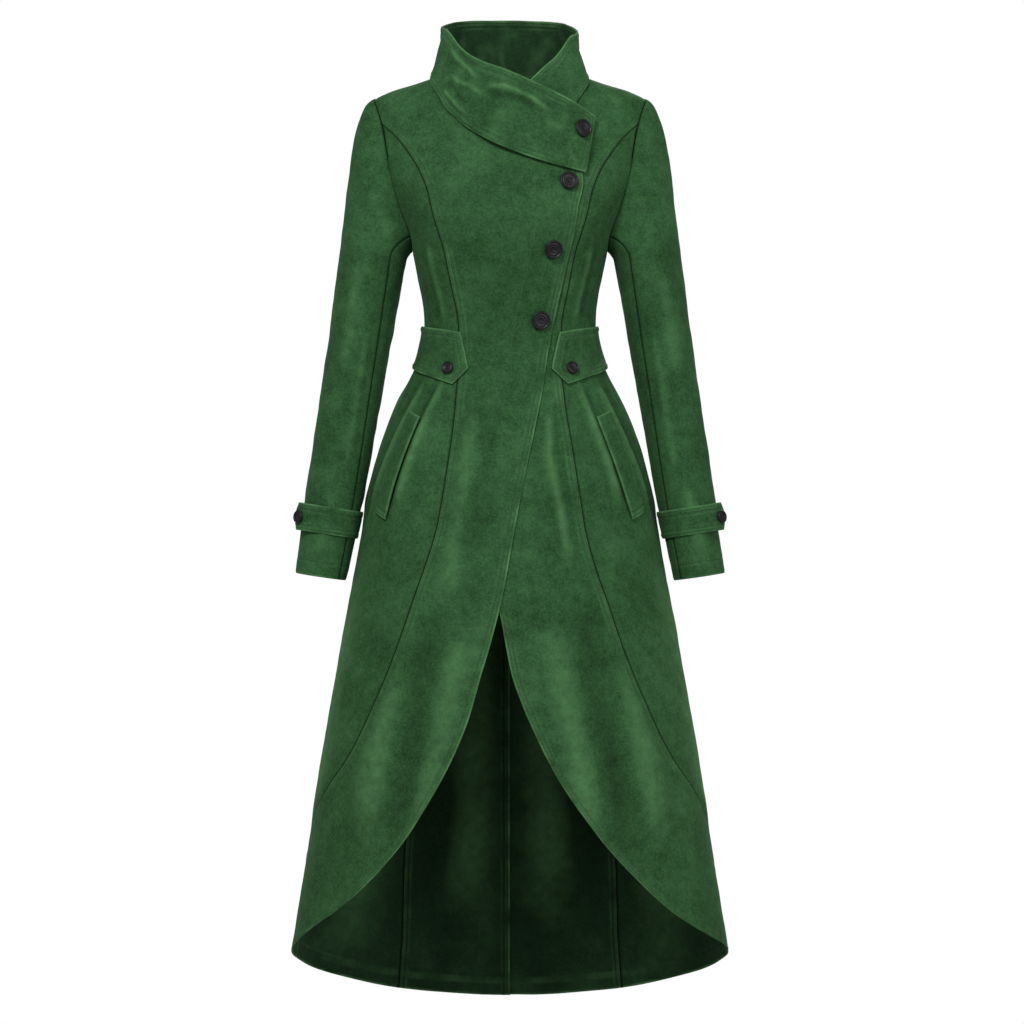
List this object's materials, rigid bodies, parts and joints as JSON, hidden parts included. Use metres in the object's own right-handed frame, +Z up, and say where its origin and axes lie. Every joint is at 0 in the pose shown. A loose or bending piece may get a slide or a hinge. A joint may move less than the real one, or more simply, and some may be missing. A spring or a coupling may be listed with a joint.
{
  "type": "long wrap-collar cut-away coat, worn form",
  "caption": "Long green napped-cloth coat with wrapped funnel collar, slanting buttoned front, waist tabs, welt pockets and cut-away hem",
  "frame": {"origin": "the middle of the neck at the height of the shoulders", "axes": "+Z up, the front faces -Y, +X is the wearer's left"},
  "size_m": [0.6041, 0.4541, 1.3823],
  "materials": {
    "coat_cloth": "napped cotton moleskin, matt with a soft sheen",
    "button_resin": "polished dark resin with a raised rim"
  },
  "bodies": {
    "root": {"front_right": "coat_cloth", "front_left": "coat_cloth", "side_right": "coat_cloth", "side_left": "coat_cloth", "back_right": "coat_cloth", "back_left": "coat_cloth", "upper_sleeve_right": "coat_cloth", "upper_sleeve_left": "coat_cloth", "under_sleeve_right": "coat_cloth", "under_sleeve_left": "coat_cloth", "cuff_strap_right": "coat_cloth", "cuff_strap_left": "coat_cloth", "waist_tab_right": "coat_cloth", "waist_tab_left": "coat_cloth", "pocket_welt_right": "coat_cloth", "pocket_welt_left": "coat_cloth", "collar": "coat_cloth", "button_front_1": "button_resin", "button_front_2": "button_resin", "button_front_3": "button_resin", "button_front_4": "button_resin", "button_tab_right": "button_resin", "button_tab_left": "button_resin", "button_cuff_right": "button_resin", "button_cuff_left": "button_resin"}
  },
  "joints": []
}
